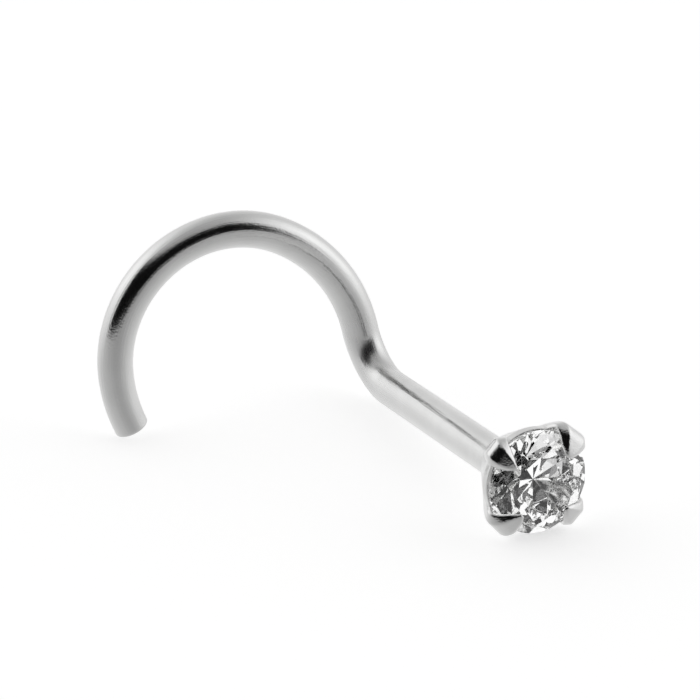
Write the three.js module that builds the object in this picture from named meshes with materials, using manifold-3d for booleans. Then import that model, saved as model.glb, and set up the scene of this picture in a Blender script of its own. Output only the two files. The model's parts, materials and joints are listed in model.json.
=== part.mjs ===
// Nose stud of the screw kind: a round stone in a four-claw cup, soldered to a post
// whose far end is bent square and wound into an open hook. It lies as it comes to
// rest by itself: on the tip of its hook, the underside of its bend and one claw.
// Millimetres, +Z up, the origin on the surface under the middle of the stud.

import * as THREE from 'three';
import { ConvexGeometry } from 'three/addons/geometries/ConvexGeometry.js';
import { mergeVertices } from 'three/addons/utils/BufferGeometryUtils.js';
import Module from 'manifold-3d';

// Wire: post, bend and hook are one length of round wire
const WIRE_DIAMETER = 0.8;
const POST_LENGTH = 6.5;           // from the back of the cup to the plane of the hook
const BEND_RADIUS = 1.09;          // to the middle of the wire
const HOOK_ARCS = [
  { radius: 3.42, degrees: 52.7 },
  { radius: 2.64, degrees: 119.3 },
  { radius: 3.51, degrees: 19.6 },
];
const TIP_DIAMETER = 0.74;         // the wire is drawn thinner towards its free end
const TAPER_START = 0.55;          // where that begins, as a share of the wire's length
const TIP_DOME_HEIGHT = 0.12;      // how far the rounded end stands past the last arc

// Stone: a round brilliant
const STONE_DIAMETER = 2.11;
const TABLE_SHARE = 0.6;           // table across its corners, as a share of the diameter
const STAR_SHARE = 0.5;            // how far the star facets reach towards the girdle
const LOWER_HALF_SHARE = 0.35;     // how far the lower half facets reach to the culet
const CROWN_ANGLE = 34.5;
const PAVILION_ANGLE = 40.75;
const GIRDLE_THICKNESS = 0.07;     // at its sixteen thick places

// Setting: a conical cup with four claws that run up its flank and over the stone
const SEAT_GAP = 0.03;             // between the metal and the stone
const CUP_DEPTH = 1.12;            // from the middle of the girdle to the back of the cup
const CUP_BACK_RADIUS = 0.66;
const CUP_SHOULDER_RADIUS = 1.06;
const CUP_SHOULDER_DROP = 0.3;     // behind the middle of the girdle, as the rim's
const CUP_RIM_RADIUS = 1.06;
const CUP_RIM_DROP = 0.12;
const SOLDER_LENGTH = 0.2;         // the solder's cone between the post and the cup
const SOLDER_RADIUS = 0.5;         // where it meets the cup's flat back
// The middle line of a claw from its foot to its tip: how far out of the stone's axis and
// above the middle of the girdle it is, and half of the claw's width and thickness there
const CLAW_STATIONS = [
  { radius: 0.57, height: -0.98, halfWidth: 0.34, halfThickness: 0.17 },
  { radius: 0.80, height: -0.56, halfWidth: 0.37, halfThickness: 0.19 },
  { radius: 0.98, height: -0.22, halfWidth: 0.38, halfThickness: 0.20 },
  { radius: 1.07, height: -0.02, halfWidth: 0.37, halfThickness: 0.17 },
  { radius: 1.03, height: 0.09, halfWidth: 0.33, halfThickness: 0.13 },
  { radius: 0.93, height: 0.17, halfWidth: 0.26, halfThickness: 0.10 },
  { radius: 0.82, height: 0.24, halfWidth: 0.18, halfThickness: 0.075 },
  { radius: 0.73, height: 0.29, halfWidth: 0.09, halfThickness: 0.05 },
  { radius: 0.69, height: 0.31, halfWidth: 0.05, halfThickness: 0.03 },
];
const CLAW_ROUNDNESS = 2.4;        // 2 is an ellipse, more is a bar with rounded edges
// Degrees round the post from the direction in which the hook starts, a claw's share of
// the widths above, how far it stands out and up, and how many degrees its tip leans
const CLAWS = [
  { degrees: 35.5, breadth: 0.74, reach: 0.09, rise: 0.01, lean: 5 },
  { degrees: -52, breadth: 1.08, reach: 0.03, rise: 0.02, lean: -3 },
  { degrees: -146, breadth: 0.85, reach: 0.02, rise: 0, lean: -4 },
  { degrees: 119.5, breadth: 0.92, reach: 0.01, rise: 0, lean: 5 },
];
// Heights between which a claw comes to stand out, to stand up and to lean
const REACH_FROM = { low: -0.9, high: 0 };
const RISE_FROM = { low: -0.5, high: 0.2 };
const LEAN_FROM = { low: -0.1, high: 0.35 };
// The post is soldered a little off the middle of the cup
const POST_OFFSET = { distance: 0.075, degrees: -50.8 };

// Fineness of the faceted surfaces
const WIRE_SIDES = 20;
const WIRE_STEPS = 84;
const ROUND_SIDES = 40;
const CLAW_SIDES = 16;
const GIRDLE_STEPS = 4;            // straight edges of the girdle on each of 16 facets

const WIRE_RADIUS = WIRE_DIAMETER / 2;
const STONE_RADIUS = STONE_DIAMETER / 2;
const GIRDLE_PLANE = POST_LENGTH + CUP_DEPTH;

const radians = THREE.MathUtils.degToRad;

const wasm = await Module();
wasm.setup();

// A closed mesh as a solid that can be joined and cut
function solid(geometry, matrix = new THREE.Matrix4()) {
  const shape = geometry.clone().applyMatrix4(matrix);
  shape.deleteAttribute('normal');
  shape.deleteAttribute('uv');
  const merged = mergeVertices(shape, 1e-6);
  return new wasm.Manifold(new wasm.Mesh({
    numProp: 3,
    vertProperties: new Float32Array(merged.attributes.position.array),
    triVerts: new Uint32Array(merged.index.array),
  }));
}

function geometryOf(body) {
  const mesh = body.getMesh();
  const geometry = new THREE.BufferGeometry();
  const points = new Float32Array(mesh.vertProperties);
  geometry.setAttribute('position', new THREE.BufferAttribute(points, 3));
  geometry.setIndex(new THREE.BufferAttribute(new Uint32Array(mesh.triVerts), 1));
  return geometry;
}

// An arc that leaves start along tangent and turns towards normal
class Arc extends THREE.Curve {
  constructor(start, tangent, normal, radius, angle) {
    super();
    Object.assign(this, { start, tangent, normal, radius, angle });
  }

  getPoint(t, target = new THREE.Vector3()) {
    const turned = this.angle * t;
    return target.copy(this.start)
      .addScaledVector(this.tangent, this.radius * Math.sin(turned))
      .addScaledVector(this.normal, this.radius * (1 - Math.cos(turned)));
  }

  endTangent() {
    return this.tangent.clone().multiplyScalar(Math.cos(this.angle))
      .addScaledVector(this.normal, Math.sin(this.angle));
  }

  endNormal() {
    return this.normal.clone().multiplyScalar(Math.cos(this.angle))
      .addScaledVector(this.tangent, -Math.sin(this.angle));
  }
}

// The middle of the wire, from inside the cup's back to the tip of the hook. The post
// runs along Y with the head at +Y, and the hook lies in the XZ plane.
function wirePath() {
  const path = new THREE.CurvePath();
  const postTop = new THREE.Vector3(0, POST_LENGTH + SOLDER_LENGTH / 2, 0);
  const postFoot = new THREE.Vector3(0, BEND_RADIUS, 0);
  path.add(new THREE.LineCurve3(postTop, postFoot));
  let tangent = new THREE.Vector3(0, -1, 0);
  let normal = new THREE.Vector3(0, 0, 1);
  const bend = new Arc(postFoot, tangent, normal, BEND_RADIUS, Math.PI / 2);
  path.add(bend);
  let start = bend.getPoint(1);
  tangent = bend.endTangent();
  normal = new THREE.Vector3(1, 0, 0);
  for (const { radius, degrees } of HOOK_ARCS) {
    const arc = new Arc(start, tangent, normal, radius, radians(degrees));
    path.add(arc);
    start = arc.getPoint(1);
    tangent = arc.endTangent();
    normal = arc.endNormal();
  }
  return { path, tip: start, tipDirection: tangent };
}

// Draws the rings of the swept wire in towards its middle, more and more to the tip
function taper(sweep, path) {
  const middles = path.getSpacedPoints(WIRE_STEPS);
  const position = sweep.attributes.position;
  const thinning = 1 - TIP_DIAMETER / WIRE_DIAMETER;
  for (let i = 0; i < position.count; i += 1) {
    const point = new THREE.Vector3().fromBufferAttribute(position, i);
    const distances = middles.map((middle) => middle.distanceToSquared(point));
    const ring = distances.indexOf(Math.min(...distances));
    const past = Math.max(0, (ring / WIRE_STEPS - TAPER_START) / (1 - TAPER_START));
    point.sub(middles[ring]).multiplyScalar(1 - thinning * past).add(middles[ring]);
    position.setXYZ(i, point.x, point.y, point.z);
  }
}

function bentWire() {
  const { path, tip, tipDirection } = wirePath();
  const section = new THREE.Shape();
  for (let i = 0; i < WIRE_SIDES; i += 1) {
    const angle = (2 * Math.PI * i) / WIRE_SIDES;
    const x = WIRE_RADIUS * Math.cos(angle);
    const y = WIRE_RADIUS * Math.sin(angle);
    if (i === 0) {
      section.moveTo(x, y);
    } else {
      section.lineTo(x, y);
    }
  }
  section.closePath();
  const sweep = new THREE.ExtrudeGeometry(section, {
    extrudePath: path,
    steps: WIRE_STEPS,
    bevelEnabled: false,
  });
  taper(sweep, path);
  const tipRadius = TIP_DIAMETER / 2;
  const dome = new THREE.SphereGeometry(tipRadius, WIRE_SIDES, WIRE_SIDES / 2);
  const place = new THREE.Matrix4().compose(
    tip,
    new THREE.Quaternion().setFromUnitVectors(new THREE.Vector3(0, 1, 0), tipDirection),
    new THREE.Vector3(0.995, TIP_DOME_HEIGHT / tipRadius, 0.995),
  );
  return solid(sweep).add(solid(dome, place));
}

// Corner points of a round brilliant with its girdle in the XZ plane and its table at +Y
function brilliantPoints() {
  const slope = {
    crown: Math.tan(radians(CROWN_ANGLE)),
    pavilion: Math.tan(radians(PAVILION_ANGLE)),
  };
  const halfGirdle = GIRDLE_THICKNESS / 2;
  const tableRadius = TABLE_SHARE * STONE_RADIUS;
  const tableHeight = halfGirdle + (STONE_RADIUS - tableRadius) * slope.crown;
  const facetTurn = Math.PI / 8;
  const edgeOfTable = tableRadius * Math.cos(facetTurn);
  const starRadius = edgeOfTable + STAR_SHARE * (STONE_RADIUS - edgeOfTable);
  const lowerRadius = STONE_RADIUS * (1 - LOWER_HALF_SHARE);
  const at = (radius, angle, height) => new THREE.Vector3(
    radius * Math.cos(angle),
    height,
    radius * Math.sin(angle),
  );
  // Height of the crown's or the pavilion's main facets over a point between two of them
  const onMain = (radius, rise) => (
    halfGirdle + (STONE_RADIUS - radius * Math.cos(facetTurn)) * rise
  );
  const starHeight = onMain(starRadius, slope.crown);
  const lowerHeight = onMain(lowerRadius, slope.pavilion);
  const points = [at(0, 0, -halfGirdle - STONE_RADIUS * slope.pavilion)];
  for (let i = 0; i < 8; i += 1) {
    const main = 2 * i * facetTurn;
    points.push(at(tableRadius, main, tableHeight));
    points.push(at(starRadius, main + facetTurn, starHeight));
    points.push(at(lowerRadius, main + facetTurn, -lowerHeight));
  }
  // Each of the 16 half facets meets the round girdle in a shallow scallop
  const halfTurn = facetTurn / 2;
  const chord = STONE_RADIUS * Math.cos(halfTurn);
  const scallop = (innerRadius, innerHeight) => {
    const fall = (innerHeight - halfGirdle) / (chord - innerRadius * Math.cos(halfTurn));
    return (angle) => halfGirdle - fall * (STONE_RADIUS * Math.cos(angle) - chord);
  };
  const crownEdge = scallop(starRadius, starHeight);
  const pavilionEdge = scallop(lowerRadius, lowerHeight);
  for (let facet = 0; facet < 16; facet += 1) {
    for (let step = 0; step < GIRDLE_STEPS; step += 1) {
      const inFacet = facetTurn * (step / GIRDLE_STEPS) - halfTurn;
      const angle = (facet + 0.5) * facetTurn + inFacet;
      points.push(at(STONE_RADIUS, angle, crownEdge(inFacet)));
      points.push(at(STONE_RADIUS, angle, -pavilionEdge(inFacet)));
    }
  }
  return points;
}

// Rises smoothly from 0 at the lower height to 1 at the upper one
function eased(height, { low, high }) {
  return THREE.MathUtils.smoothstep(height, low, high);
}

// The points round a claw at one of its stations, where the claw runs in direction along
function clawRing({ radius, height, halfWidth, halfThickness }, along, stance) {
  const points = [];
  for (let side = 0; side < CLAW_SIDES; side += 1) {
    const angle = (2 * Math.PI * side) / CLAW_SIDES;
    const squeezed = (value) => Math.sign(value) * Math.abs(value) ** (2 / CLAW_ROUNDNESS);
    const aside = squeezed(Math.cos(angle)) * halfWidth * stance.breadth;
    const outward = squeezed(Math.sin(angle)) * halfThickness;
    const point = new THREE.Vector3(
      aside,
      height - outward * along.radius,
      radius + outward * along.height,
    );
    const above = point.y;
    point.applyAxisAngle(new THREE.Vector3(0, 1, 0), radians(stance.degrees));
    const outwards = new THREE.Vector3(point.x, 0, point.z).normalize();
    point.addScaledVector(outwards, stance.reach * eased(above, REACH_FROM));
    point.y += stance.rise * eased(above, RISE_FROM);
    const lean = radians(stance.lean) * eased(above, LEAN_FROM);
    points.push(point.applyAxisAngle(new THREE.Vector3(0, 1, 0), lean));
  }
  return points;
}

// One claw: convex lengths between its stations, up the cup's flank and over the stone
function claw(stance) {
  const last = CLAW_STATIONS.length - 1;
  const rings = CLAW_STATIONS.map((station, i) => {
    const before = CLAW_STATIONS[Math.max(i - 1, 0)];
    const after = CLAW_STATIONS[Math.min(i + 1, last)];
    const along = new THREE.Vector2(
      after.radius - before.radius,
      after.height - before.height,
    ).normalize();
    return clawRing(station, { radius: along.x, height: along.y }, stance);
  });
  const lengths = rings.slice(1).map((ring, i) => (
    solid(new ConvexGeometry([...rings[i], ...ring]))
  ));
  return lengths.reduce((joined, length) => joined.add(length));
}

// The cup with its claws and the stone's seat, the middle of the girdle at the origin
function clawSetting(stoneShape) {
  const profile = [
    new THREE.Vector2(0, -CUP_DEPTH),
    new THREE.Vector2(CUP_BACK_RADIUS, -CUP_DEPTH),
    new THREE.Vector2(CUP_SHOULDER_RADIUS, -CUP_SHOULDER_DROP),
    new THREE.Vector2(CUP_RIM_RADIUS, -CUP_RIM_DROP),
    new THREE.Vector2(0, -CUP_RIM_DROP),
  ];
  let setting = solid(new THREE.LatheGeometry(profile, ROUND_SIDES));
  for (const row of CLAWS) {
    setting = setting.add(claw(row));
  }
  const nearestFacet = STONE_RADIUS * Math.sin(radians(PAVILION_ANGLE));
  const grown = 1 + SEAT_GAP / nearestFacet;
  const seat = solid(stoneShape, new THREE.Matrix4().makeScale(grown, grown, grown));
  return setting.subtract(seat);
}

function solderCone() {
  const cone = new THREE.CylinderGeometry(
    SOLDER_RADIUS,
    WIRE_RADIUS * 1.02,
    SOLDER_LENGTH,
    ROUND_SIDES,
  );
  return solid(cone, new THREE.Matrix4().makeTranslation(
    0,
    POST_LENGTH - SOLDER_LENGTH / 2,
    0,
  ));
}

// Turns the stud so that it stands on the three places that a flat surface meets
function layDown(stud, tip) {
  const points = [];
  stud.updateMatrixWorld(true);
  stud.traverse((mesh) => {
    if (!mesh.isMesh) {
      return;
    }
    const position = mesh.geometry.attributes.position;
    for (let i = 0; i < position.count; i += 1) {
      const point = new THREE.Vector3().fromBufferAttribute(position, i);
      points.push(point.applyMatrix4(mesh.matrixWorld));
    }
  });
  const regions = [
    points.filter((point) => point.distanceTo(tip) < 2 * WIRE_DIAMETER),
    points.filter((point) => Math.abs(point.x) < WIRE_DIAMETER && point.y < BEND_RADIUS + 1),
    points.filter((point) => point.y > POST_LENGTH),
  ];
  const up = new THREE.Vector3(0, 0, 1);
  for (let round = 0; round < 20; round += 1) {
    const feet = regions.map((region) => region.reduce(
      (lowest, point) => (point.dot(up) < lowest.dot(up) ? point : lowest),
    ));
    const across = feet[1].clone().sub(feet[0]);
    up.copy(feet[2]).sub(feet[0]).cross(across).normalize();
    if (up.z < 0) {
      up.negate();
    }
  }
  // The post's head end points to the front, which is -Y
  const back = new THREE.Vector3(0, -1, 0).projectOnPlane(up).normalize();
  const right = back.clone().cross(up);
  const basis = new THREE.Matrix4().makeBasis(right, back, up);
  stud.quaternion.setFromRotationMatrix(basis).invert();
  stud.updateMatrixWorld(true);
  const box = new THREE.Box3().setFromObject(stud, true);
  const middle = box.getCenter(new THREE.Vector3());
  stud.position.set(-middle.x, -middle.y, -box.min.z);
}

const stoneShape = new ConvexGeometry(brilliantPoints());
const offsetTurn = new THREE.Matrix4().makeRotationY(radians(POST_OFFSET.degrees));
const headPlace = new THREE.Vector3(0, GIRDLE_PLANE, POST_OFFSET.distance)
  .applyMatrix4(offsetTurn);

const headMatrix = new THREE.Matrix4().setPosition(headPlace);
const metal = bentWire()
  .add(solderCone())
  .add(clawSetting(stoneShape).transform(headMatrix.elements));

const screw = new THREE.Mesh(
  geometryOf(metal),
  new THREE.MeshStandardMaterial({ color: 0xd6d6d4, roughness: 0.22, metalness: 1 }),
);
screw.name = 'nose_screw_with_claw_setting';

const stone = new THREE.Mesh(
  stoneShape,
  new THREE.MeshStandardMaterial({ color: 0xf4f6f8, roughness: 0.02, metalness: 0 }),
);
stone.name = 'round_stone';
stone.position.copy(headPlace);

const stud = new THREE.Group();
stud.add(screw, stone);
layDown(stud, wirePath().tip);

const noseStud = new THREE.Group();
noseStud.add(stud);

export default noseStud;
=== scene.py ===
import json
import math

import bpy
import numpy as np
from mathutils import Matrix, Vector


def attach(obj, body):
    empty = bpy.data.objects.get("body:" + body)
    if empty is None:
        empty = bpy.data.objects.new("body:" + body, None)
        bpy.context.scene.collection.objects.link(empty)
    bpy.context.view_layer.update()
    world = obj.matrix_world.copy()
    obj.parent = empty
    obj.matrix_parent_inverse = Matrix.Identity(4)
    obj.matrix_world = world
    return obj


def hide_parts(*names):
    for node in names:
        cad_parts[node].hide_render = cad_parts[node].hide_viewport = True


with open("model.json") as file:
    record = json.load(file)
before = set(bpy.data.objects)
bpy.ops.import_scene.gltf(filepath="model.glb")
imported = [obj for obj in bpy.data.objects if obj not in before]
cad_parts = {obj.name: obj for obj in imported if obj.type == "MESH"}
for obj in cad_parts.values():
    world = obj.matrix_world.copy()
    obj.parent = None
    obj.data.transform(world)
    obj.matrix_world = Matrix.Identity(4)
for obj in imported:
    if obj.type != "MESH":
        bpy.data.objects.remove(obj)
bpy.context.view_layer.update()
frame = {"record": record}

# A nose stud of the screw kind: a bent wire, a claw setting and a round brilliant.
# It is made in millimetres in the stud's own frame, which has its origin at the corner
# between post and hook, the head at +Y and the hook in the XZ plane, and is then laid
# down where the frame has it.

MILLIMETRE = 0.001

# Wire
WIRE_DIAMETER = 0.8
POST_LENGTH = 6.5
BEND_RADIUS = 1.09
HOOK_ARCS = ((3.42, 52.7), (2.64, 119.3), (3.51, 19.6))     # radius, degrees
TIP_DIAMETER = 0.74
TAPER_START = 0.55
TIP_DOME = 0.12
SOLDER_LENGTH = 0.2
SOLDER_RADIUS = 0.56
WIRE_SIDES = 56
STATION_SPACING = 0.06
END_STATIONS = 14
POST_IN_CUP = 0.1

# Stone
STONE_DIAMETER = 2.11
CROWN_ANGLE = 34.5
PAVILION_ANGLE = 40.75
TABLE_SHARE = 0.6
STAR_SHARE = 0.5
LOWER_HALF_SHARE = 0.35
GIRDLE_THICKNESS = 0.07
GIRDLE_STEPS = 4

# Setting
SEAT_GAP = 0.012
CUP_DEPTH = 1.12
CUP_PROFILE = ((0.0, -1.12), (0.66, -1.12), (1.05, -0.3), (1.05, -0.12), (0.0, -0.12))
CUP_SIDES = 96
POST_OFFSET = 0.075
POST_OFFSET_TURN = -50.8
# The middle line of a claw from its foot to its tip, with half its width and thickness
CLAW_STATIONS = (
    # radius, height, half width, half thickness
    (0.57, -0.98, 0.34, 0.17),
    (0.80, -0.56, 0.37, 0.19),
    (0.98, -0.22, 0.38, 0.20),
    (1.07, -0.02, 0.37, 0.17),
    (1.03, 0.09, 0.33, 0.13),
    (0.93, 0.17, 0.26, 0.10),
    (0.82, 0.24, 0.18, 0.075),
    (0.73, 0.29, 0.09, 0.05),
    (0.69, 0.31, 0.05, 0.03),
)
CLAW_FLAT_TOP = 0.6              # share of a claw's width between its bevels
CLAW_UPRIGHT_SIDE = 0.2          # share of its thickness between them
CLAW_SIDES = 64
CLAW_STEPS = 48
# Degrees round the head, breadth of a claw, how far it stands out and up, and how many
# degrees its tip leans
CLAWS = (
    {"turn": 35.5, "breadth": 0.74, "reach": 0.09, "rise": 0.01, "lean": 5.0},
    {"turn": -52.0, "breadth": 1.08, "reach": 0.03, "rise": 0.02, "lean": -3.0},
    {"turn": -146.0, "breadth": 0.85, "reach": 0.02, "rise": 0.0, "lean": -4.0},
    {"turn": 119.5, "breadth": 0.92, "reach": 0.01, "rise": 0.0, "lean": 5.0},
)
# Heights between which a claw comes to stand out, to stand up and to lean
REACH_FROM = (-0.9, 0.0)
RISE_FROM = (-0.5, 0.2)
LEAN_FROM = (-0.1, 0.35)
CAST_GRAIN = 0.018               # voxel that the claws and cup are fused with
CAST_SMOOTHING = 8
SHARP_EDGE = 32                  # degrees between faces that aren't shaded as one

# How the stud lies: the frame's post mount is this far from the hook's plane, and the
# hook leans by this many degrees about the post
POST_MOUNT = 3.6
HOOK_LEAN = 10.2746

# Camera, as degrees round the stud and above the floor, and what it looks at
CAMERA_AZIMUTH = -24.57
CAMERA_ELEVATION = 24.02
CAMERA_ROLL = -0.366
CAMERA_TARGET = (2.240, 3.988, 0.764)
CAMERA_DISTANCE = 60.0
PHOTO_SIZE = 700
PIXELS_PER_MILLIMETRE = 45.6
SENSOR = 36.0


class Value:
    """An output of a node tree. Sums and products of it add Math nodes to its tree."""

    def __init__(self, tree, socket=None):
        self.tree = tree
        self.socket = socket

    def node(self, kind, settings=None, values=None, output=0):
        """A node of that kind, with its settings made before its sockets are filled."""
        made = self.tree.nodes.new(kind)
        for name, setting in (settings or {}).items():
            setattr(made, name, setting)
        for name, value in (values or {}).items():
            if isinstance(value, Value):
                self.tree.links.new(value.socket, made.inputs[name])
            else:
                made.inputs[name].default_value = value
        return Value(self.tree, made.outputs[output] if made.outputs else None)

    def also(self, output):
        """Another output of the same node."""
        return Value(self.tree, self.socket.node.outputs[output])

    def math(self, operation, *values, **settings):
        return self.node(
            "ShaderNodeMath",
            {"operation": operation, **settings},
            dict(enumerate(values)),
        )

    def vector_math(self, operation, *values):
        return self.node(
            "ShaderNodeVectorMath",
            {"operation": operation},
            dict(enumerate(values)),
        )

    def __add__(self, other):
        return self.math("ADD", self, other)

    __radd__ = __add__

    def __sub__(self, other):
        return self.math("SUBTRACT", self, other)

    def __rsub__(self, other):
        return self.math("SUBTRACT", other, self)

    def __mul__(self, other):
        return self.math("MULTIPLY", self, other)

    __rmul__ = __mul__

    def __truediv__(self, other):
        return self.math("DIVIDE", self, other)

    def __rtruediv__(self, other):
        return self.math("DIVIDE", other, self)

    def clamped(self):
        return self.math("ADD", self, 0.0, use_clamp=True)

    def ramp(self, low, high):
        """Rises smoothly from 0 at low to 1 at high."""
        return self.node(
            "ShaderNodeMapRange",
            {"interpolation_type": "SMOOTHSTEP"},
            {"Value": self, "From Min": low, "From Max": high},
        )


# Building with Geometry Nodes


def growing_tree(name, inputs):
    """A Geometry Nodes tree with those named inputs, and a start value for each of them."""
    tree = bpy.data.node_groups.new(name, "GeometryNodeTree")
    tree.interface.new_socket("Geometry", in_out="INPUT", socket_type="NodeSocketGeometry")
    for label, kind in inputs.items():
        tree.interface.new_socket(label, in_out="INPUT", socket_type=f"NodeSocket{kind}")
    tree.interface.new_socket("Geometry", in_out="OUTPUT", socket_type="NodeSocketGeometry")
    entry = tree.nodes.new("NodeGroupInput")
    start = {socket.name: Value(tree, socket) for socket in entry.outputs if socket.name}
    return tree, start


def close_tree(geometry, material):
    """Ends a tree in plain mesh with its material."""
    solid = geometry.node("GeometryNodeRealizeInstances", None, {"Geometry": geometry})
    painted = solid.node(
        "GeometryNodeSetMaterial", None, {"Geometry": solid, "Material": material}
    )
    painted.node("NodeGroupOutput", None, {"Geometry": painted})


def place_object(name, mesh):
    piece = bpy.data.objects.new(name, mesh)
    bpy.context.scene.collection.objects.link(piece)
    return piece


def evaluated_mesh(piece):
    depsgraph = bpy.context.evaluated_depsgraph_get()
    return bpy.data.meshes.new_from_object(
        piece.evaluated_get(depsgraph), depsgraph=depsgraph
    )


def grow(name, source, tree, sizes):
    """The plain mesh object that a tree makes from a source object, which is used up."""
    modifier = source.modifiers.new(tree.name, "NODES")
    modifier.node_group = tree
    for item in tree.interface.items_tree:
        if item.in_out == "INPUT" and item.name in sizes:
            modifier[item.identifier] = sizes[item.name]
    mesh = evaluated_mesh(source)
    bpy.data.objects.remove(source)
    return place_object(name, mesh)


def finish_with(piece, kind, **settings):
    """Applies one modifier to a piece."""
    modifier = piece.modifiers.new(kind, kind)
    for name, setting in settings.items():
        setattr(modifier, name, setting)
    mesh = evaluated_mesh(piece)
    piece.modifiers.clear()
    old = piece.data
    piece.data = mesh
    bpy.data.meshes.remove(old)


def paint(piece, material):
    """Gives a piece that one material all over."""
    mesh = piece.data
    mesh.materials.clear()
    mesh.materials.append(material)
    mesh.polygons.foreach_set("material_index", [0] * len(mesh.polygons))


def chain(name, points, values=None):
    """An open chain of edges, with a number at each point for every named value."""
    mesh = bpy.data.meshes.new(name)
    mesh.from_pydata(points, [(i, i + 1) for i in range(len(points) - 1)], [])
    for label, numbers in (values or {}).items():
        mesh.attributes.new(label, "FLOAT", "POINT").data.foreach_set("value", numbers)
    return place_object(name, mesh)


# The wire


def arc_points(start, tangent, normal, radius, degrees):
    angle = math.radians(degrees)
    count = max(2, round(radius * angle / STATION_SPACING))
    turned = np.linspace(0, angle, count + 1)[1:, None]
    points = (
        start
        + radius * np.sin(turned) * tangent
        + radius * (1 - np.cos(turned)) * normal
    )
    end_tangent = tangent * math.cos(angle) + normal * math.sin(angle)
    end_normal = normal * math.cos(angle) - tangent * math.sin(angle)
    return points, end_tangent, end_normal


def wire_stations():
    """The middle of the wire, from inside the cup to the tip of the hook."""
    top = POST_LENGTH + POST_IN_CUP
    dense = POST_LENGTH - SOLDER_LENGTH * (1 - np.cos(np.linspace(0, math.pi / 2, END_STATIONS)))
    foot = np.arange(POST_LENGTH - SOLDER_LENGTH - STATION_SPACING, BEND_RADIUS, -STATION_SPACING)
    heights = np.concatenate(([top], dense, foot, [BEND_RADIUS]))
    rows = [np.column_stack((0 * heights, heights, 0 * heights))]
    tangent = np.array((0.0, -1.0, 0.0))
    normal = np.array((0.0, 0.0, 1.0))
    points, tangent, normal = arc_points(rows[-1][-1], tangent, normal, BEND_RADIUS, 90)
    rows.append(points)
    normal = np.array((1.0, 0.0, 0.0))
    for radius, degrees in HOOK_ARCS:
        points, tangent, normal = arc_points(rows[-1][-1], tangent, normal, radius, degrees)
        rows.append(points)
    to_end = np.linspace(0, math.pi / 2, END_STATIONS + 1)[1:, None]
    rows.append(rows[-1][-1] + TIP_DOME * np.sin(to_end) * tangent)
    return np.concatenate(rows)


def wire_tree():
    tree, given = growing_tree(
        "Drawn wire",
        {
            "Diameter": "Float",
            "Tip Diameter": "Float",
            "Taper Start": "Float",
            "Tip Dome": "Float",
            "Cup Back": "Float",
            "Solder Radius": "Float",
            "Solder Length": "Float",
            "Sides": "Int",
            "Material": "Material",
        },
    )
    curve = given["Geometry"].node(
        "GeometryNodeMeshToCurve", None, {"Mesh": given["Geometry"]}
    )
    along = curve.node("GeometryNodeSplineParameter", output="Length")
    share = along.also("Factor")
    total = curve.node("GeometryNodeSplineLength", output="Length")
    thinning = 1 - given["Tip Diameter"] / given["Diameter"]
    past_start = ((share - given["Taper Start"]) / (1 - given["Taper Start"])).clamped()
    into_dome = (1 - (total - along) / given["Tip Dome"]).clamped()
    dome = (1 - into_dome * into_dome).math("SQRT", 1 - into_dome * into_dome)
    radius = given["Diameter"] / 2
    into_solder = (1 - (along - given["Cup Back"]) / given["Solder Length"]).clamped()
    flare = 1 - total.math("SQRT", 1 - into_solder * into_solder)
    scale = radius * (1 - thinning * past_start) * dome + (given["Solder Radius"] - radius) * flare
    section = curve.node(
        "GeometryNodeCurvePrimitiveCircle", None, {"Resolution": given["Sides"], "Radius": 1.0}
    )
    swept = curve.node(
        "GeometryNodeCurveToMesh",
        None,
        {"Curve": curve, "Profile Curve": section, "Scale": scale, "Fill Caps": True},
    )
    closed = swept.node(
        "GeometryNodeMergeByDistance", None, {"Geometry": swept, "Distance": 1e-4}
    )
    close_tree(closed, given["Material"])
    return tree


def bent_wire(material):
    return grow(
        "bent_wire",
        chain("wire_line", wire_stations()),
        wire_tree(),
        {
            "Diameter": WIRE_DIAMETER,
            "Tip Diameter": TIP_DIAMETER,
            "Taper Start": TAPER_START,
            "Tip Dome": TIP_DOME,
            "Cup Back": POST_IN_CUP,
            "Solder Radius": SOLDER_RADIUS,
            "Solder Length": SOLDER_LENGTH,
            "Sides": WIRE_SIDES,
            "Material": material,
        },
    )


# The stone


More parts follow.
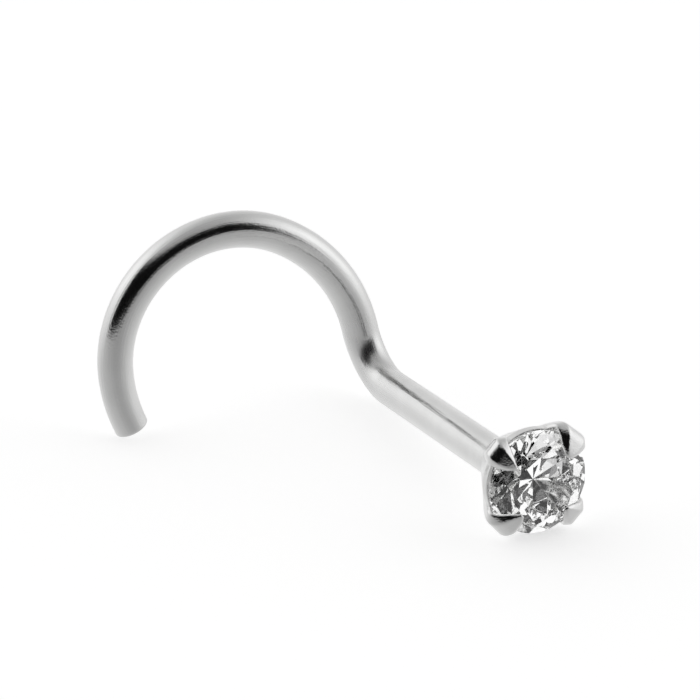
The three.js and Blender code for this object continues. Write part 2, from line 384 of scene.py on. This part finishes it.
def brilliant_tree():
    """Corner points of a round brilliant from its cutting sizes, wrapped in flat facets."""
    tree, given = growing_tree(
        "Round brilliant",
        {
            "Diameter": "Float",
            "Table Share": "Float",
            "Star Share": "Float",
            "Lower Half Share": "Float",
            "Crown Angle": "Float",
            "Pavilion Angle": "Float",
            "Girdle Thickness": "Float",
            "Girdle Points": "Int",
            "Material": "Material",
        },
    )
    start = given["Diameter"]
    radius = start / 2
    half_girdle = given["Girdle Thickness"] / 2
    crown = start.math("TANGENT", given["Crown Angle"])
    pavilion = start.math("TANGENT", given["Pavilion Angle"])
    facet_turn = math.pi / 8

    def ring(count, ring_radius, turn, height):
        circle = start.node(
            "GeometryNodeMeshCircle", None, {"Vertices": count, "Radius": ring_radius}
        )
        offset = start.node("ShaderNodeCombineXYZ", None, {"Z": height})
        rotation = start.node("ShaderNodeCombineXYZ", None, {"Z": turn})
        return start.node(
            "GeometryNodeTransform",
            None,
            {"Geometry": circle, "Translation": offset, "Rotation": rotation},
        )

    def on_main(at_radius, slope):
        return half_girdle + (radius - at_radius * math.cos(facet_turn)) * slope

    table_radius = radius * given["Table Share"]
    table_edge = table_radius * math.cos(facet_turn)
    star_radius = table_edge + given["Star Share"] * (radius - table_edge)
    lower_radius = radius * (1 - given["Lower Half Share"])
    star_height = on_main(star_radius, crown)
    lower_height = on_main(lower_radius, pavilion)
    rings = [
        ring(8, table_radius, 0.0, half_girdle + (radius - table_radius) * crown),
        ring(8, star_radius, facet_turn, star_height),
        ring(8, lower_radius, facet_turn, 0 - lower_height),
        ring(3, 0.0, 0.0, 0 - half_girdle - radius * pavilion),
    ]
    # Each half facet meets the round girdle in a shallow scallop
    index = start.node("GeometryNodeInputIndex")
    angle = index * (2 * math.pi) / given["Girdle Points"]
    in_facet = angle.math("MODULO", angle, facet_turn) - facet_turn / 2
    chord = radius * math.cos(facet_turn / 2)
    for inner_radius, inner_height, side in (
        (star_radius, star_height, 1),
        (lower_radius, lower_height, -1),
    ):
        fall = (inner_height - half_girdle) / (chord - inner_radius * math.cos(facet_turn / 2))
        edge = half_girdle - fall * (radius * in_facet.math("COSINE", in_facet) - chord)
        flat = ring(given["Girdle Points"], radius, 0.0, 0.0)
        lift = start.node("ShaderNodeCombineXYZ", None, {"Z": edge * side})
        rings.append(
            start.node("GeometryNodeSetPosition", None, {"Geometry": flat, "Offset": lift})
        )
    joined = start.node("GeometryNodeJoinGeometry")
    for made in reversed(rings):
        tree.links.new(made.socket, joined.socket.node.inputs[0])
    hull = joined.node("GeometryNodeConvexHull", None, {"Geometry": joined})
    close_tree(hull, given["Material"])
    return tree


def brilliant(name, material):
    """The stone with its girdle in the XZ plane and its table at +Y."""
    stone = grow(
        name,
        chain("culet", [(0, 0, 0)]),
        brilliant_tree(),
        {
            "Diameter": STONE_DIAMETER,
            "Table Share": TABLE_SHARE,
            "Star Share": STAR_SHARE,
            "Lower Half Share": LOWER_HALF_SHARE,
            "Crown Angle": math.radians(CROWN_ANGLE),
            "Pavilion Angle": math.radians(PAVILION_ANGLE),
            "Girdle Thickness": GIRDLE_THICKNESS,
            "Girdle Points": 16 * GIRDLE_STEPS,
            "Material": material,
        },
    )
    stone.data.transform(Matrix.Rotation(-math.pi / 2, 4, "X"))
    paint(stone, material)
    return stone


# The setting


def claws_tree():
    """One claw swept along its middle line, then set round the head with its own stance."""
    tree, given = growing_tree(
        "Claws round the head",
        {
            "Stances": "Object",
            "Flat Top": "Float",
            "Upright Side": "Float",
            "Sides": "Int",
            "Stations": "Int",
            "Material": "Material",
        },
    )
    start = given["Geometry"]

    def attribute(name):
        return start.node("GeometryNodeInputNamedAttribute", {"data_type": "FLOAT"}, {"Name": name})

    line = start.node("GeometryNodeMeshToCurve", None, {"Mesh": start})
    eased = line.node(
        "GeometryNodeCurveSplineType", {"spline_type": "CATMULL_ROM"}, {"Curve": line}
    )
    line = eased.node(
        "GeometryNodeResampleCurve", None, {"Curve": eased, "Count": given["Stations"]}
    )
    section = line.node(
        "GeometryNodeCurvePrimitiveCircle", None, {"Resolution": given["Sides"], "Radius": 1.0}
    )
    place = section.node("GeometryNodeInputPosition")
    corner = place.node("ShaderNodeSeparateXYZ", None, {"Vector": place})
    wide = corner.math("ABSOLUTE", corner)
    high = corner.math("ABSOLUTE", corner.also("Y"))
    top, side = given["Flat Top"], given["Upright Side"]
    bevel = (wide * (1 - side) + high * (1 - top)) / (1 - side * top)
    nearest = wide.math("MAXIMUM", bevel, wide.math("MAXIMUM", wide, high))
    bar = section.node(
        "ShaderNodeVectorMath", {"operation": "SCALE"}, {0: place, "Scale": 1 / nearest}
    )
    section = section.node(
        "GeometryNodeSetPosition", None, {"Geometry": section, "Position": bar}
    )
    claw = line.node(
        "GeometryNodeCurveToMesh",
        None,
        {
            "Curve": line,
            "Profile Curve": section,
            "Scale": attribute("half_thickness"),
            "Fill Caps": True,
        },
    )
    place = claw.node("GeometryNodeInputPosition")
    corner = place.node("ShaderNodeSeparateXYZ", None, {"Vector": place})
    widened = corner.node(
        "ShaderNodeCombineXYZ",
        None,
        {
            "X": corner * attribute("half_width") / attribute("half_thickness"),
            "Y": corner.also("Y"),
            "Z": corner.also("Z"),
        },
    )
    claw = claw.node("GeometryNodeSetPosition", None, {"Geometry": claw, "Position": widened})
    stances = start.node(
        "GeometryNodeObjectInfo", None, {"Object": given["Stances"]}, output="Geometry"
    )
    claws = stances.node(
        "GeometryNodeInstanceOnPoints",
        None,
        {
            "Points": stances,
            "Instance": claw,
            "Rotation": start.node("ShaderNodeCombineXYZ", None, {"Y": attribute("turn")}),
            "Scale": start.node(
                "ShaderNodeCombineXYZ", None, {"X": attribute("breadth"), "Y": 1.0, "Z": 1.0}
            ),
        },
    )
    claws = claws.node("GeometryNodeRealizeInstances", None, {"Geometry": claws})
    place = claws.node("GeometryNodeInputPosition")
    height = place.node("ShaderNodeSeparateXYZ", None, {"Vector": place}, output="Y")
    outward = place.vector_math("MULTIPLY", place, (1.0, 0.0, 1.0))
    outward = place.vector_math("NORMALIZE", outward)
    stand_out = place.node(
        "ShaderNodeVectorMath",
        {"operation": "SCALE"},
        {0: outward, "Scale": attribute("reach") * height.ramp(*REACH_FROM)},
    )
    stand_up = place.node(
        "ShaderNodeCombineXYZ", None, {"Y": attribute("rise") * height.ramp(*RISE_FROM)}
    )
    moved = place.vector_math("ADD", place.vector_math("ADD", place, stand_out), stand_up)
    leaned = place.node(
        "ShaderNodeVectorRotate",
        {"rotation_type": "Y_AXIS"},
        {"Vector": moved, "Angle": attribute("lean") * height.ramp(*LEAN_FROM)},
    )
    claws = claws.node("GeometryNodeSetPosition", None, {"Geometry": claws, "Position": leaned})
    close_tree(claws, given["Material"])
    return tree


def four_claws(material):
    stances = bpy.data.meshes.new("stances")
    stances.from_pydata([(0, 0, 0)] * len(CLAWS), [], [])
    for label in CLAWS[0]:
        numbers = [claw[label] for claw in CLAWS]
        if label in ("turn", "lean"):
            numbers = np.radians(numbers)
        stances.attributes.new(label, "FLOAT", "POINT").data.foreach_set("value", numbers)
    stances = place_object("stances", stances)
    rows = np.array(CLAW_STATIONS)
    line = chain(
        "claw_line",
        np.column_stack((0 * rows[:, 0], rows[:, 1], rows[:, 0])),
        {"half_width": rows[:, 2], "half_thickness": rows[:, 3]},
    )
    claws = grow(
        "claws",
        line,
        claws_tree(),
        {
            "Stances": stances,
            "Flat Top": CLAW_FLAT_TOP,
            "Upright Side": CLAW_UPRIGHT_SIDE,
            "Sides": CLAW_SIDES,
            "Stations": CLAW_STEPS,
            "Material": material,
        },
    )
    bpy.data.objects.remove(stances)
    return claws


def cup(material):
    """The conical cup as one turned solid."""
    turns = np.linspace(0, 2 * math.pi, CUP_SIDES, endpoint=False)
    rings = [row for row in CUP_PROFILE if row[0] > 0]
    points = [(r * math.sin(a), h, r * math.cos(a)) for r, h in rings for a in turns]
    low, high = len(points), len(points) + 1
    points += [(0, CUP_PROFILE[0][1], 0), (0, CUP_PROFILE[-1][1], 0)]
    faces = []
    last = (len(rings) - 1) * CUP_SIDES
    for i in range(CUP_SIDES):
        j = (i + 1) % CUP_SIDES
        faces.append((low, j, i))
        faces.append((high, last + i, last + j))
        for base in range(0, last, CUP_SIDES):
            faces.append((base + i, base + j, base + CUP_SIDES + j, base + CUP_SIDES + i))
    mesh = bpy.data.meshes.new("cup")
    mesh.from_pydata(points, [], faces)
    mesh.materials.append(material)
    return place_object("cup", mesh)


def join(pieces):
    """Puts the meshes of several pieces into the first one."""
    with bpy.context.temp_override(
        active_object=pieces[0], selected_editable_objects=pieces, object=pieces[0]
    ):
        bpy.ops.object.join()
    return pieces[0]


def head_place():
    turn = math.radians(POST_OFFSET_TURN)
    return Matrix.Translation(
        (
            POST_OFFSET * math.sin(turn),
            POST_LENGTH + CUP_DEPTH,
            POST_OFFSET * math.cos(turn),
        )
    )


def screw_with_setting(material, seat_material, stone):
    """Wire, solder, cup and claws fused into one body, with the stone's seat cut."""
    head = join([cup(material), four_claws(material)])
    finish_with(head, "REMESH", mode="VOXEL", voxel_size=CAST_GRAIN)
    finish_with(head, "SMOOTH", factor=0.5, iterations=CAST_SMOOTHING)
    paint(head, material)
    head.data.transform(head_place())
    nearest_facet = STONE_DIAMETER / 2 * math.sin(math.radians(PAVILION_ANGLE))
    grown = Matrix.Diagonal((*[1 + SEAT_GAP / nearest_facet] * 3, 1))
    seat = place_object("seat", stone.data.copy())
    seat.data.transform(head_place() @ grown @ head_place().inverted())
    paint(seat, seat_material)
    seat.data.shade_flat()
    finish_with(
        head, "BOOLEAN", operation="DIFFERENCE", object=seat, solver="MANIFOLD",
        material_mode="TRANSFER",
    )
    wire = bent_wire(material)
    finish_with(
        wire, "BOOLEAN", operation="UNION", object=head, solver="MANIFOLD",
        material_mode="TRANSFER",
    )
    for used in (head, seat):
        bpy.data.objects.remove(used)
    wire.name = "silver_screw_and_claws"
    mesh = wire.data
    mesh.shade_smooth()
    mesh.set_sharp_from_angle(angle=math.radians(SHARP_EDGE))
    seat_slots = [i for i, m in enumerate(mesh.materials) if m == seat_material]
    for face in mesh.polygons:
        if face.material_index in seat_slots:
            face.use_smooth = False
    return wire


# Laying the stud down


def lying():
    """From the stud's own frame in millimetres to where it lies, in metres."""
    mount = next(m for m in frame["record"]["mounts"] if m["name"] == "post")
    along = -Vector(mount["axis"])
    across = Vector((1, 0, 0))
    upright = along.cross(across)
    lean = math.radians(HOOK_LEAN)
    x_axis = -math.cos(lean) * across - math.sin(lean) * upright
    z_axis = math.cos(lean) * upright - math.sin(lean) * across
    corner = Vector(mount["pos_m"]) - along * POST_MOUNT * MILLIMETRE
    turned = Matrix((x_axis, along, z_axis)).transposed().to_4x4()
    return Matrix.Translation(corner) @ turned @ Matrix.Scale(MILLIMETRE, 4)


# Materials


def new_material(name):
    material = bpy.data.materials.new(name)
    material.use_nodes = True
    material.node_tree.nodes.clear()
    return material, Value(material.node_tree)


def close_material(start, shader):
    start.node("ShaderNodeOutputMaterial", None, {"Surface": shader})


# Satin silver, measured in millimetres along and across the wire
DRAWN_OUT = 0.03                 # how much slower the drawing lines change lengthwise
DRAWING_LINES = 32.0             # fineness of the lines, the grain and the clouds
GRAIN = 24.0
CLOUDS = 1.3
POLISH = 0.09                    # roughness, and what each kind of mark adds to it
ROUGHER = {"lines": 0.05, "clouds": 0.06, "gripped": 0.13}
# How far along the wire, in millimetres, it is duller round the bend, as in the photograph
GRIPPED = (3.4, 5.0, 7.4, 9.0)
MARK_DEPTH = 0.000004            # in metres
GRAIN_SHARE = 0.7                # of the marks' depth
SILVER_DARK = (0.90, 0.90, 0.895, 1)
SILVER_LIGHT = (0.95, 0.95, 0.945, 1)


def silver():
    """Satin-polished silver with fine drawing lines along the wire."""
    material, start = new_material("satin_silver")
    drawn = start.node("ShaderNodeAttribute", {"attribute_name": "drawn"}, output="Vector")
    lengthwise = start.node(
        "ShaderNodeMapping", None, {"Vector": drawn, "Scale": (1.0, 1.0, DRAWN_OUT)}
    )

    def noise(place, scale, detail):
        return start.node(
            "ShaderNodeTexNoise", None, {"Vector": place, "Scale": scale, "Detail": detail}
        )

    lines = noise(lengthwise, DRAWING_LINES, 3.0)
    grain = noise(drawn, GRAIN, 2.0)
    cloudy = noise(drawn, CLOUDS, 3.0)
    along = drawn.node("ShaderNodeSeparateXYZ", None, {"Vector": drawn}, output="Z")
    gripped = along.ramp(*GRIPPED[:2]) * (1 - along.ramp(*GRIPPED[2:]))
    roughness = (
        POLISH
        + ROUGHER["lines"] * lines
        + ROUGHER["clouds"] * cloudy
        + ROUGHER["gripped"] * gripped
    )
    bump = start.node(
        "ShaderNodeBump",
        None,
        {"Strength": 1.0, "Distance": MARK_DEPTH, "Height": lines + GRAIN_SHARE * grain},
    )
    colour = start.node(
        "ShaderNodeMix",
        {"data_type": "RGBA"},
        {0: cloudy.ramp(0.3, 0.7), 6: SILVER_DARK, 7: SILVER_LIGHT},
        output=2,
    )
    shader = start.node(
        "ShaderNodeBsdfPrincipled",
        None,
        {"Base Color": colour, "Metallic": 1.0, "Roughness": roughness, "Normal": bump},
    )
    close_material(start, shader)
    return material


# The stone's seat
PIT_SCALE = 60000.0              # pits to the metre
PIT_DEPTH = 0.000001             # in metres
SEAT_POLISH = 0.03               # roughness, and what the pits add to it
PIT_ROUGHNESS = 0.04
SEAT_SILVER = (0.93, 0.93, 0.925, 1)


def cast_silver():
    """The stone's seat, burnished bright, with the last pits of the casting."""
    material, start = new_material("cast_silver")
    place = start.node("ShaderNodeTexCoord", output="Object")
    pits = start.node("ShaderNodeTexNoise", None, {"Vector": place, "Scale": PIT_SCALE})
    bump = start.node(
        "ShaderNodeBump", None, {"Strength": 0.1, "Distance": PIT_DEPTH, "Height": pits}
    )
    shader = start.node(
        "ShaderNodeBsdfPrincipled",
        None,
        {
            "Base Color": SEAT_SILVER,
            "Metallic": 1.0,
            "Roughness": SEAT_POLISH + PIT_ROUGHNESS * pits,
            "Normal": bump,
        },
    )
    close_material(start, shader)
    return material


STONE_INDEX = 2.16               # cubic zirconia's
STONE_REFLECTION = 0.2           # weaker than a real stone's, for the looks
WEAR_SCALE = 2500.0              # duller patches to the metre
WEAR_ROUGHNESS = 0.02


def cut_stone():
    """A clear stone with polished facets."""
    material, start = new_material("clear_cut_stone")
    place = start.node("ShaderNodeTexCoord", output="Object")
    polish = start.node("ShaderNodeTexNoise", None, {"Vector": place, "Scale": WEAR_SCALE})
    shader = start.node(
        "ShaderNodeBsdfPrincipled",
        None,
        {
            "Base Color": (1.0, 1.0, 1.0, 1),
            "Roughness": polish.ramp(0.55, 0.8) * WEAR_ROUGHNESS,
            "IOR": STONE_INDEX,
            "Specular IOR Level": STONE_REFLECTION,
            "Transmission Weight": 1.0,
        },
    )
    close_material(start, shader)
    return material


POINTS_AT_ONCE = 4096


def mark_drawn_lines(piece):
    """Stores each point's place across and along the wire, for the drawing lines."""
    line = wire_stations()
    tangents = np.gradient(line, axis=0)
    tangents /= np.linalg.norm(tangents, axis=1)[:, None]
    sides = [np.array((1.0, 0.0, 0.0))]
    for tangent in tangents[1:]:
        side = sides[-1] - tangent * (sides[-1] @ tangent)
        sides.append(side / np.linalg.norm(side))
    sides = np.array(sides)
    along = np.concatenate(([0], np.cumsum(np.linalg.norm(np.diff(line, axis=0), axis=1))))
    mesh = piece.data
    points = np.empty(len(mesh.vertices) * 3)
    mesh.vertices.foreach_get("co", points)
    points = points.reshape(-1, 3)
    drawn = np.empty_like(points)
    for first in range(0, len(points), POINTS_AT_ONCE):
        part = points[first:first + POINTS_AT_ONCE]
        gaps = np.linalg.norm(part[:, None, :] - line[None], axis=2)
        nearest = gaps.argmin(axis=1)
        offset = part - line[nearest]
        lengthwise = np.sum(offset * tangents[nearest], axis=1)
        side = sides[nearest]
        other = np.cross(tangents[nearest], side)
        drawn[first:first + POINTS_AT_ONCE] = np.column_stack((
            np.sum(offset * side, axis=1),
            np.sum(offset * other, axis=1),
            along[nearest] + lengthwise,
        ))
    attribute = mesh.attributes.new("drawn", "FLOAT_VECTOR", "POINT")
    attribute.data.foreach_set("vector", drawn.ravel())


# Studio


# The white table, in metres
TABLE_TOP_WIDTH = 1.2
TABLE_TOP_DROP = 0.000005        # below the stud's resting plane
TABLE_TOP_WHITE = (0.8, 0.8, 0.8, 1)
TABLE_TOP_GLOW = 0.66


def floor():
    """A plain white table."""
    half = TABLE_TOP_WIDTH / 2
    mesh = bpy.data.meshes.new("table_top")
    mesh.from_pydata(
        [(-half, -half, 0), (half, -half, 0), (half, half, 0), (-half, half, 0)],
        [],
        [(0, 1, 2, 3)],
    )
    mesh.transform(Matrix.Translation((0, 0, -TABLE_TOP_DROP)))
    material, start = new_material("white_table")
    diffuse = start.node("ShaderNodeBsdfDiffuse", None, {"Color": TABLE_TOP_WHITE})
    glow = start.node(
        "ShaderNodeEmission", None, {"Color": (1, 1, 1, 1), "Strength": TABLE_TOP_GLOW}
    )
    both = start.node("ShaderNodeAddShader", None, {0: diffuse, 1: glow})
    close_material(start, both)
    mesh.materials.append(material)
    table = place_object("table_top", mesh)
    # The table isn't mirrored in the metal or seen through the stone
    table.visible_glossy = False
    table.visible_transmission = False


# Soft lights of the tent: direction as degrees from +Y towards +X and above the floor,
# strength, and how narrow each one is. The last one takes light away. A fitting program
# found these, the base and the fall from how light the wire is in the photograph
TENT_LIGHTS = (
    (-45.9, 33.3, 0.527, 5.11),
    (103.7, 22.7, 0.571, 6.11),
    (20.0, -17.8, 0.380, 2.13),
    (-164.9, -10.5, -0.088, 3.63),
)
TENT_BASE = 0.353
TENT_FALL = -0.108               # added at the zenith, taken off at the nadir
# The tent's dark opening, which the camera looks through: fitted too, then set one by one
OPENING = {"azimuth": -155.3, "half_width": 67.0, "side_blend": 14.0,
           "bottom": (2.0, 12.0), "top": (48.0, 66.0), "glow": 0.003}
METAL_RETURN = 0.93              # what polished silver gives back of the light
# Light goes back and forth many times between the stone and its seat
BOUNCES = {"glossy_bounces": 32, "transmission_bounces": 32, "max_bounces": 48}
# A made-up pattern of dark and light, which light that has passed through the stone sees
# in place of the tent: waves over all directions, and the pitch of their crests. The seed
# is the one of many tried whose pattern in the stone came closest to the photograph's
PANEL_SEED = 1167
PANEL_WAVES = 8
PANEL_PITCH = 4.5
PANEL_EDGE = (-0.9, 0.9)
PANEL_DARK = 0.0
PANEL_LIGHT = 1.25


def panels(direction):
    """How light the made-up pattern is in a direction, for light through the stone."""
    random = np.random.default_rng(PANEL_SEED)
    crests = random.normal(size=(PANEL_WAVES, 3))
    crests *= PANEL_PITCH / np.linalg.norm(crests, axis=1)[:, None]
    phases = random.uniform(0, 2 * math.pi, PANEL_WAVES)
    height = 0.0
    for crest, phase in zip(crests, phases):
        along = direction.node(
            "ShaderNodeVectorMath", {"operation": "DOT_PRODUCT"}, {0: direction, 1: crest},
            output="Value",
        )
        height = along.math("COSINE", along + float(phase)) + height
    return PANEL_DARK + (PANEL_LIGHT - PANEL_DARK) * height.ramp(*PANEL_EDGE)


def studio():
    world = bpy.data.worlds.new("light_tent")
    bpy.context.scene.world = world
    world.use_nodes = True
    world.node_tree.nodes.clear()
    start = Value(world.node_tree)
    direction = start.node("ShaderNodeTexCoord", output="Generated")
    x = start.node("ShaderNodeSeparateXYZ", None, {"Vector": direction})
    y, z = x.also("Y"), x.also("Z")
    light = TENT_BASE + TENT_FALL * z
    for azimuth, elevation, strength, narrowness in TENT_LIGHTS:
        a, e = math.radians(azimuth), math.radians(elevation)
        centre = (math.sin(a) * math.cos(e), math.cos(a) * math.cos(e), math.sin(e))
        closeness = start.node(
            "ShaderNodeVectorMath", {"operation": "DOT_PRODUCT"}, {0: direction, 1: centre},
            output="Value",
        )
        light = light + strength * light.math("EXPONENT", narrowness * (closeness - 1))
    a = math.radians(OPENING["azimuth"])
    level = light.math("SQRT", x * x + y * y + 1e-6)
    aside = light.math("ARCCOSINE", (x * math.sin(a) + y * math.cos(a)) / level)
    half, blend = math.radians(OPENING["half_width"]), math.radians(OPENING["side_blend"])
    rise = light.math("ARCSINE", z)
    bottom = [math.radians(d) for d in OPENING["bottom"]]
    top = [math.radians(d) for d in OPENING["top"]]
    opening = (
        (1 - aside.ramp(half - blend / 2, half + blend / 2))
        * rise.ramp(*bottom)
        * (1 - rise.ramp(*top))
    )
    light = (light * (1 - opening) + OPENING["glow"] * opening) / METAL_RETURN
    seen = start.node("ShaderNodeLightPath", output="Is Camera Ray")
    in_stone = seen.also("Transmission Depth").clamped()
    strength = (light * (1 - in_stone) + panels(direction) * in_stone) * (1 - seen) + seen
    background = start.node(
        "ShaderNodeBackground", None, {"Color": (1, 1, 1, 1), "Strength": strength}
    )
    start.node("ShaderNodeOutputWorld", None, {"Surface": background})
    scene = bpy.context.scene
    scene.view_settings.view_transform = "Standard"
    for kind, count in BOUNCES.items():
        setattr(scene.cycles, kind, count)


def camera():
    azimuth, elevation = math.radians(CAMERA_AZIMUTH), math.radians(CAMERA_ELEVATION)
    back = Vector(
        (
            math.sin(azimuth) * math.cos(elevation),
            -math.cos(azimuth) * math.cos(elevation),
            math.sin(elevation),
        )
    )
    data = bpy.data.cameras.new("camera")
    data.sensor_width = SENSOR
    data.lens = SENSOR * PIXELS_PER_MILLIMETRE * CAMERA_DISTANCE / PHOTO_SIZE
    data.clip_start = 0.001
    data.clip_end = 10
    made = bpy.data.objects.new("camera", data)
    bpy.context.scene.collection.objects.link(made)
    turn = (-back).to_track_quat("-Z", "Y").to_matrix()
    roll = Matrix.Rotation(math.radians(CAMERA_ROLL), 3, "Z")
    place = Vector(CAMERA_TARGET) * MILLIMETRE + back * CAMERA_DISTANCE * MILLIMETRE
    made.matrix_world = Matrix.Translation(place) @ (turn @ roll).to_4x4()
    bpy.context.scene.camera = made


camera()
studio()
floor()

silver_material = silver()
stone = brilliant("brilliant_stone", cut_stone())
stone.data.transform(head_place())
screw = screw_with_setting(silver_material, cast_silver(), stone)
mark_drawn_lines(screw)

for piece in (screw, stone):
    piece.data.transform(lying())

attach(screw, "root")
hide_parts("nose_screw_with_claw_setting")
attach(stone, "root")
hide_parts("round_stone")
